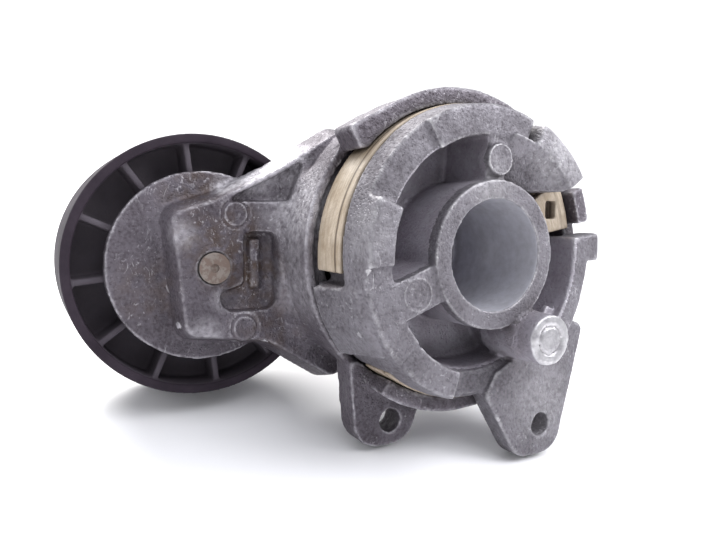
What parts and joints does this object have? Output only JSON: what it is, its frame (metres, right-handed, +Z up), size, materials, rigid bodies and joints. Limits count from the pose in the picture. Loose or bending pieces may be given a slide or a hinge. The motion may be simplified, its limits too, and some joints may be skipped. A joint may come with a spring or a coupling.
{
  "type": "belt tensioner idler",
  "caption": "Automatic belt tensioner: cast base and spring-loaded arm on a hub pivot, with friction shoes and a ribbed plastic idler pulley on a ball bearing.",
  "frame": {"origin": "where the pivot axis meets the mounting face of the hub, at the mouth of the hub bore", "axes": "+Y along the pivot axis from the mounting face towards the pulley, +Z up, the pulley on the -X side"},
  "size_m": [0.1378, 0.0822, 0.1001],
  "materials": {
    "cast_base": "weathered die-cast",
    "cast_arm": "weathered die-cast",
    "shoe_nylon": "ivory nylon, dirt-streaked",
    "spring_steel": "oiled spring steel",
    "bush_polymer": "filled nylon",
    "plate_steel": "zinc-plated pressing",
    "pulley_nylon": "glass-filled black nylon",
    "bolt_steel": "steel, rust-stained",
    "cap_steel": "pressed steel",
    "bearing_steel": "ground bearing steel",
    "cage_steel": "pressed steel",
    "seal_rubber": "nitrile"
  },
  "bodies": {
    "base": {"base_housing": "cast_base", "upper_friction_shoe": "shoe_nylon", "lower_friction_shoe": "shoe_nylon", "torsion_spring": "spring_steel", "thrust_washer": "bush_polymer", "retaining_plate": "plate_steel"},
    "arm": {"tension_arm": "cast_arm", "rear_pivot_bush": "bush_polymer", "front_pivot_bush": "bush_polymer", "pulley_bolt": "bolt_steel", "dust_cap": "cap_steel", "bearing_inner_race": "bearing_steel"},
    "pulley": {"pulley": "pulley_nylon", "bearing_outer_race": "bearing_steel", "rear_bearing_seal": "seal_rubber", "front_bearing_seal": "seal_rubber"},
    "ball_cage": {"cage_rear_half": "cage_steel", "cage_front_half": "cage_steel", "cage_rivets": "cage_steel", "bearing_balls": "bearing_steel"}
  },
  "joints": [
    {"name": "arm_swing", "type": "hinge", "parent": "base", "child": "arm", "pos_m": [0, 0.03, 0], "axis": [0, -1, 0], "range_deg": [0, 44], "stiffness_Nm_per_rad": 14, "springref_deg": -17.19, "deforming": ["torsion_spring"]},
    {"name": "pulley_spin", "type": "hinge", "parent": "arm", "child": "pulley", "pos_m": [-0.0592, 0.062, -0.0036], "axis": [0, -1, 0], "continuous": true},
    {"name": "cage_spin", "type": "hinge", "parent": "arm", "child": "ball_cage", "pos_m": [-0.0592, 0.062, -0.0036], "axis": [0, -1, 0], "continuous": true}
  ],
  "couplings": [
    {"joint": "cage_spin", "follows": "pulley_spin", "ratio": 0.6181}
  ]
}
